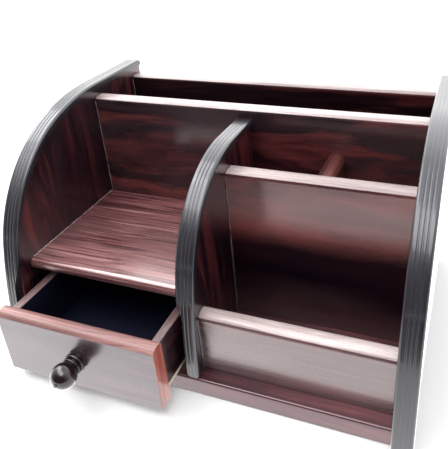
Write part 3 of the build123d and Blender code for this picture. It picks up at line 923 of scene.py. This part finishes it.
# The trim's section at the foot, seen from above: a strip with flutes in its face.
def drawTrimSection(bm, centre, curve):
    half = profileValues["width"] / 2
    front, foot = curve["front"], curve["foot"]
    back = front + profileValues["thickness"]
    groove = profileValues["fluteWidth"] / 2
    grooveFloor = groove * profileValues["fluteFloor"]
    floor = front + profileValues["fluteDepth"]
    points = [(-half, back), (-half, front)]
    for middle in (-profileValues["flutePitch"], 0, profileValues["flutePitch"]):
        points += [(middle - groove, front), (middle - grooveFloor, floor)]
        points += [(middle + grooveFloor, floor), (middle + groove, front)]
    points += [(half, front), (half, back)]
    verts = [bm.verts.new((centre + x, y, foot)) for x, y in points]
    bm.faces.new(verts)
    flanks = [verts[1], verts[-2]]
    lips = [vert for vert in verts[2:-2] if abs(vert.co.y - front) < meshValues["fine"]]
    roundCorners(bm, lips, profileValues["fluteRound"], profileValues["fluteSegments"])
    roundCorners(bm, flanks, profileValues["flankRound"], profileValues["flankSegments"])


keeperValues = {
    "front": -0.2,
    "depth": 0.4,
    "spare": 1 * mm,  # how far it reaches past the trim where nothing is cut
    "heel": (12 * mm, 10 * mm),  # between these heights the uncut flank comes in to the width
    "arcSteps": 8,
    "footSegments": 6,
}


# The outline that a trim is kept within, seen from the front: one flank is cut
# back beside the drawer and runs out in two arcs. side is +1 for the right flank.
def makeKeeper(centre, side, foot, top, roundFoot):
    half = profileValues["width"] / 2
    notchCut, notchTop = profileValues["notchCut"], profileValues["notchTop"]
    y, spare = keeperValues["front"], keeperValues["spare"]
    cut = centre + side * (half - notchCut)
    rise = profileValues["notchRunOut"] / 2
    bow = 2 * atan(notchCut / 2 / rise)
    radius = rise / sin(bow)
    endZ = notchTop + 2 * rise
    bm = bmesh.new()
    start = end = bm.verts.new((cut, y, notchTop))
    outwards = ((cut + side * radius, y, notchTop), side * bow)
    inwards = ((centre + side * half - side * radius, y, endZ), -side * bow)
    for arcCentre, angle in (outwards, inwards):
        made = bmesh.ops.spin(bm, geom=[end], cent=arcCentre, axis=(0, 1, 0), angle=angle,
                              steps=keeperValues["arcSteps"])
        end = vertsIn(made["geom_last"])[0]
    outer = centre + side * (half + spare)
    otherSide = centre - side * half
    beyond = otherSide - side * spare
    outline = [(outer, endZ + spare), (outer, top + spare), (beyond, top + spare)]
    if roundFoot:
        bottom = foot
        heelTop, heelFoot = keeperValues["heel"]
        outline += [(beyond, foot + heelTop), (otherSide, foot + heelFoot), (otherSide, foot)]
    else:
        bottom = foot - spare
        outline += [(beyond, bottom)]
    outline += [(cut, bottom)]
    joinInChain(bm, [end, *[bm.verts.new((x, y, z)) for x, z in outline], start])
    bmesh.ops.contextual_create(bm, geom=bm.edges[:])
    if roundFoot:
        corners = [vert for vert in bm.verts if abs(vert.co.z - foot) < meshValues["touch"]]
        roundCorners(bm, corners, profileValues["footRound"], keeperValues["footSegments"])
    thickenFaces(bm, bm.faces[:], (0, keeperValues["depth"], 0))
    bmesh.ops.recalc_face_normals(bm, faces=bm.faces)
    return linkObject("keeper", meshFrom("keeper", bm))


# Rounds the top of a trim's back end with a row of cuts that touch the arc.
def roundTail(bm, curve):
    radius = profileValues["tailRound"]
    middle = Vector((0, curve["back"] - radius, curve["top"] - radius))
    for step in range(1, profileValues["tailSteps"]):
        turn = quarterTurn * step / profileValues["tailSteps"]
        facing = Vector((0, cos(turn), sin(turn)))
        geometry = bm.verts[:] + bm.edges[:] + bm.faces[:]
        cut = bmesh.ops.bisect_plane(bm, geom=geometry, dist=meshValues["fine"],
                                     plane_co=middle + facing * radius, plane_no=facing,
                                     clear_outer=True)
        bmesh.ops.contextual_create(bm, geom=edgesIn(cut["geom_cut"]))


# Keeps what a mesh and the keeper share.
def cutToKeeper(mesh, keeper):
    whole = linkObject("whole", mesh)
    cut = whole.modifiers.new("cut", "BOOLEAN")
    cut.operation = "INTERSECT"
    cut.solver = "EXACT"
    cut.object = keeper
    bpy.context.view_layer.update()
    evaluated = whole.evaluated_get(bpy.context.evaluated_depsgraph_get())
    kept = bpy.data.meshes.new_from_object(evaluated)
    bpy.data.objects.remove(whole)
    bpy.data.objects.remove(keeper)
    return kept


# A fluted trim swept up a curved edge, and cut back on one flank where it passes the
# drawer. One with a round foot ends inside the case, so its back end stays square.
def makeTrim(nodeName, curve, notchSide=0, roundFoot=False):
    low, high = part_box(nodeName)
    centre = (low.x + high.x) / 2
    bm = bmesh.new()
    drawTrimSection(bm, centre, curve)
    ring = bm.edges[:]
    bmesh.ops.delete(bm, geom=bm.faces[:], context="FACES_ONLY")
    last = sweepArcs(bm, ring + bm.verts[:], curve)
    grown = bmesh.ops.extrude_edge_only(bm, edges=edgesIn(last))["geom"]
    tail = vertsIn(grown)
    bmesh.ops.translate(bm, vec=(0, curve["back"] - tail[0].co.y, 0), verts=tail)
    bmesh.ops.contextual_create(bm, geom=ring)
    tailRing = [edge for edge in edgesIn(grown) if all(vert in tail for vert in edge.verts)]
    bmesh.ops.contextual_create(bm, geom=tailRing)
    weldVerts(bm)
    if not roundFoot:
        roundTail(bm, curve)
    bmesh.ops.recalc_face_normals(bm, faces=bm.faces)
    mesh = meshFrom(nodeName, bm)
    if notchSide:
        keeper = makeKeeper(centre, notchSide, curve["foot"], curve["top"], roundFoot)
        mesh = cutToKeeper(mesh, keeper)
    piece = placeMesh(nodeName + "_fluted", mesh, [finishes["trim"]], "case",
                      profileValues["smooth"])
    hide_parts(nodeName)
    print("trim", nodeName, len(mesh.polygons), "faces")


makeTrim("left_edge_trim", curves["side"], 1)
makeTrim("right_edge_trim", curves["side"])
makeTrim("middle_edge_trim", curves["middle"], -1, True)
print("trims made")

drawerValues = {  # how squarely a face must look up or sideways to get another finish
    "sideCapUpness": 0.6,
    "outerFacing": 0.7,
    "endFacing": 0.7,
    "edgeUpness": 0.25,
    "foilUpness": 0.6,
}
frontRounding = [(acrossAxis, upAxis, highEnd, boardValues["faceRound"])]
sideRounding = [(depthAxis, upAxis, highEnd, boardValues["boxRound"])]
frontPiece = makeBoard("drawer_front", [finishes["drawer_front"]],
                       "drawer", frontRounding)
leftPiece = makeBoard("drawer_left_side", [finishes["drawerSide"]],
                      "drawer", sideRounding)
rightPiece = makeBoard("drawer_right_side", [finishes["drawerSide"]],
                       "drawer", sideRounding)
makeBoard("drawer_back", [finishes["drawer_back"]], "drawer", [])
floorPiece = makeBoard("drawer_bottom", [finishes["drawerFloor"], finishes["rawFibre"]],
                       "drawer", [])
for sidePiece, outward in ((leftPiece, -1), (rightPiece, 1)):
    # the side tops take the red-brown edge finish, partly painted highlight
    paintLitTops(sidePiece, finishes["sideCap"], drawerValues["sideCapUpness"])
    refinish(sidePiece, finishes["drawerOuter"],
             lambda normal: normal.x * outward > drawerValues["outerFacing"])
refinish(frontPiece, finishes["redEnd"],
         lambda normal: abs(normal.x) > drawerValues["endFacing"])
# the drawer front's top takes the pale pinkish finish, a painted sheen
paintLitTops(frontPiece, finishes["faceEdgeSheen"], drawerValues["edgeUpness"])
for polygon in floorPiece.data.polygons:  # foil on top, painted nearly black as painted shade inside the drawer; raw fibre on the edges and below
    polygon.material_index = 0 if polygon.normal.z > drawerValues["foilUpness"] else 1
print("drawer made")

knobValues = {  # radii, and distances out from the drawer's face
    "ball": 7.7 * mm,
    "ballReach": 12.4 * mm,
    "ballSteps": 24,
    "groove": 5.2 * mm,
    "collar": (6.7 * mm, 1.08 * mm, 3.76 * mm, 0.95 * mm),  # radius, start, end, rounding
    "ring": (6.2 * mm, 4.57 * mm, 6.38 * mm, 0.70 * mm),
    "roundSegments": 6,
    "nub": (1.0 * mm, 0.6 * mm),  # radius and height
    "turns": 96,
}


# The knob is a turned piece: its half section is spun about the line out of the face.
def makeKnob():
    low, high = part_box("drawer_knob")
    axisX, axisZ, faceY = (low.x + high.x) / 2, (low.z + high.z) / 2, high.y
    groove, ball, reach = (knobValues[key] for key in ("groove", "ball", "ballReach"))
    nub, nubHeight = knobValues["nub"]
    points = [(0, 0), (groove, 0)]
    rounded = []
    for key in ("collar", "ring"):
        radius, start, end, rounding = knobValues[key]
        rounded.append((len(points) + 1, rounding))
        points += [(groove, start), (radius, start), (radius, end), (groove, end)]
    ballStart = reach - (ball * ball - groove * groove) ** 0.5
    points.append((groove, ballStart))
    bm = bmesh.new()
    verts = [bm.verts.new((axisX + radius, faceY - out, axisZ)) for radius, out in points]
    joinInChain(bm, verts)
    startAngle = atan(groove / (reach - ballStart))
    endAngle = atan(nub / (ball * ball - nub * nub) ** 0.5)
    arc = bmesh.ops.spin(bm, geom=[verts[-1]], cent=(axisX, faceY - reach, axisZ),
                         axis=(0, 0, 1), angle=-(radians(180) - startAngle - endAngle),
                         steps=knobValues["ballSteps"])
    arcEnd = vertsIn(arc["geom_last"])[0]
    tipY = arcEnd.co.y - nubHeight
    tips = [bm.verts.new((axisX + nub, tipY, axisZ)), bm.verts.new((axisX, tipY, axisZ))]
    joinInChain(bm, [arcEnd, *tips, verts[0]])
    bmesh.ops.contextual_create(bm, geom=bm.edges[:])
    for index, rounding in rounded:
        roundCorners(bm, verts[index:index + 2], rounding, knobValues["roundSegments"])
    bmesh.ops.delete(bm, geom=bm.faces[:], context="FACES_ONLY")
    onAxis = [edge for edge in bm.edges
              if all(abs(vert.co.x - axisX) < meshValues["fine"] for vert in edge.verts)]
    bmesh.ops.delete(bm, geom=onAxis, context="EDGES")
    bmesh.ops.spin(bm, geom=bm.verts[:] + bm.edges[:], cent=(axisX, faceY, axisZ),
                   axis=(0, 1, 0), angle=radians(360), steps=knobValues["turns"],
                   use_merge=True, use_duplicate=False)
    knob = makePiece("drawer_knob_turned", bm, [finishes["knob"]], "drawer")
    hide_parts("drawer_knob")


makeKnob()
print("knob turned")

baseValues = {
    "flatWithin": 0.5,  # degrees that faces may turn and still be made one
    "longEdge": 30 * mm,  # edges longer than this are softened, so not the holes' rims
}


# The base board keeps its countersunk holes: a copy of the CAD mesh with softer edges.
def makeBase():
    bm = bmesh.new()
    bm.from_mesh(nodes["base_board"].data)
    weldVerts(bm)
    bmesh.ops.dissolve_limit(bm, angle_limit=radians(baseValues["flatWithin"]),
                             verts=bm.verts, edges=bm.edges)
    limit = radians(meshValues["sharp"])
    longEdges = [edge for edge in bm.edges
                 if edge.calc_length() > baseValues["longEdge"] and edge.calc_face_angle(0) > limit]
    roundEdges(bm, longEdges, boardValues["soften"], meshValues["softSegments"])
    base = makePiece("base_board_softened", bm, [finishes["base_board"]], "case")
    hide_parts("base_board")


makeBase()
print("base softened")

keptNodes = {  # nodes that keep their CAD shape, by finish
    "beech": ("joint_dowels", "shelf_pins", "drawer_pins"),
    "zinc": ("base_screws", "knob_screw", "bottom_brads"),
}
for finishName, nodeNames in keptNodes.items():
    for nodeName in nodeNames:
        for holder in nodes[nodeName].material_slots:
            holder.material = finishes[finishName]
print("CAD nodes painted")

floorValues = {
    "size": 8.0,
    "colour": (0.50, 0.50, 0.50),
    "mottle": 0.985,  # how bright the dimmer clouds are beside the colour
    "stretch": (6, 6, 6),
    "offset": (1, 1, 1),
    "noise": (3, 0.5),  # detail and roughness
    "span": (0.3, 0.7),
    "roughness": 0.55,
    "glow": 0.10,
}
domeValues = {"radius": 12.0, "segments": (48, 24)}
cardValues = {  # glowing or dark planes that only reflections see
    "dim": {"size": (2.4, 1.4), "front": -0.235, "rise": 0.001, "shade": (0.05, 0.05, 0.055, 1)},
    "pool": {"size": (8.0, 8.0), "rise": 0.0004, "glow": 2.5},  # the bright floor
    "lamp": {"size": (3.0, 1.3), "place": (0.0, 1.3, 1.25), "target": (0, 0, 0.1), "glow": 3.6},
}


# A pale matt table top, faintly mottled.
def makePaleFloor(name):
    values = floorValues
    finish, tree, shader, place = startFinish(name)
    cloud = addNoise(tree, place, values["stretch"], values["offset"], *values["noise"])
    dim = [value * values["mottle"] for value in values["colour"]]
    colour = addRamp(tree, cloud, list(zip(values["span"], (dim, values["colour"]))))
    tree.links.new(colour, shader.inputs["Base Color"])
    shader.inputs["Roughness"].default_value = values["roughness"]
    shader.inputs["Emission Color"].default_value = (1, 1, 1, 1)
    shader.inputs["Emission Strength"].default_value = values["glow"]
    return finish


def makeGlow(name, strength, colour=(1, 1, 1, 1)):
    finish, _, shader, _ = startFinish(name)
    shader.inputs["Base Color"].default_value = (0, 0, 0, 1)
    shader.inputs["Specular IOR Level"].default_value = 0
    shader.inputs["Emission Color"].default_value = colour
    shader.inputs["Emission Strength"].default_value = strength
    return finish


def makeStagePlane(name, size, place, finish):
    bm = bmesh.new()
    bmesh.ops.create_grid(bm, x_segments=4, y_segments=4, size=0.5)
    bmesh.ops.scale(bm, vec=(*size, 1), verts=bm.verts)
    bmesh.ops.translate(bm, vec=place, verts=bm.verts)
    plane = linkObject(name, meshFrom(name, bm))
    plane.data.materials.append(finish)
    return plane


# A white surround that only the camera sees, so that no view ends in the dim room.
def makeDome():
    across, upright = domeValues["segments"]
    bm = bmesh.new()
    bmesh.ops.create_uvsphere(bm, u_segments=across, v_segments=upright,
                              radius=domeValues["radius"])
    dome = linkObject("dome", meshFrom("dome", bm))
    dome.data.materials.append(makeGlow("domeShade", 1.0))
    dome.visible_diffuse = False
    dome.visible_glossy = False
    dome.visible_shadow = False
    dome.visible_transmission = False


makeDome()
floorSize = (floorValues["size"], floorValues["size"])
makeStagePlane("floor", floorSize, (0, 0, 0), makePaleFloor("paleFloor"))
dim, pool, lamp = (cardValues[key] for key in ("dim", "pool", "lamp"))
dimPlace = (0, dim["front"] - dim["size"][1] / 2, dim["rise"])
dimCard = makeStagePlane("dimCard", dim["size"], dimPlace,
                         makeGlow("dimShade", 1.0, dim["shade"]))
floorCard = makeStagePlane("floorCard", pool["size"], (0, 0, pool["rise"]),
                           makeGlow("floorShade", pool["glow"]))
brightCard = makeStagePlane("brightCard", lamp["size"], (0, 0, 0),
                            makeGlow("brightShade", lamp["glow"]))
facing = (Vector(lamp["target"]) - Vector(lamp["place"])).to_track_quat("Z", "Y")
brightCard.data.transform(Matrix.Translation(lamp["place"]) @ facing.to_matrix().to_4x4())
for plane in (dimCard, floorCard, brightCard):
    plane.visible_camera = False
    plane.visible_diffuse = False
    plane.visible_shadow = False
    plane.visible_transmission = False
print("floor, dome and cards placed")
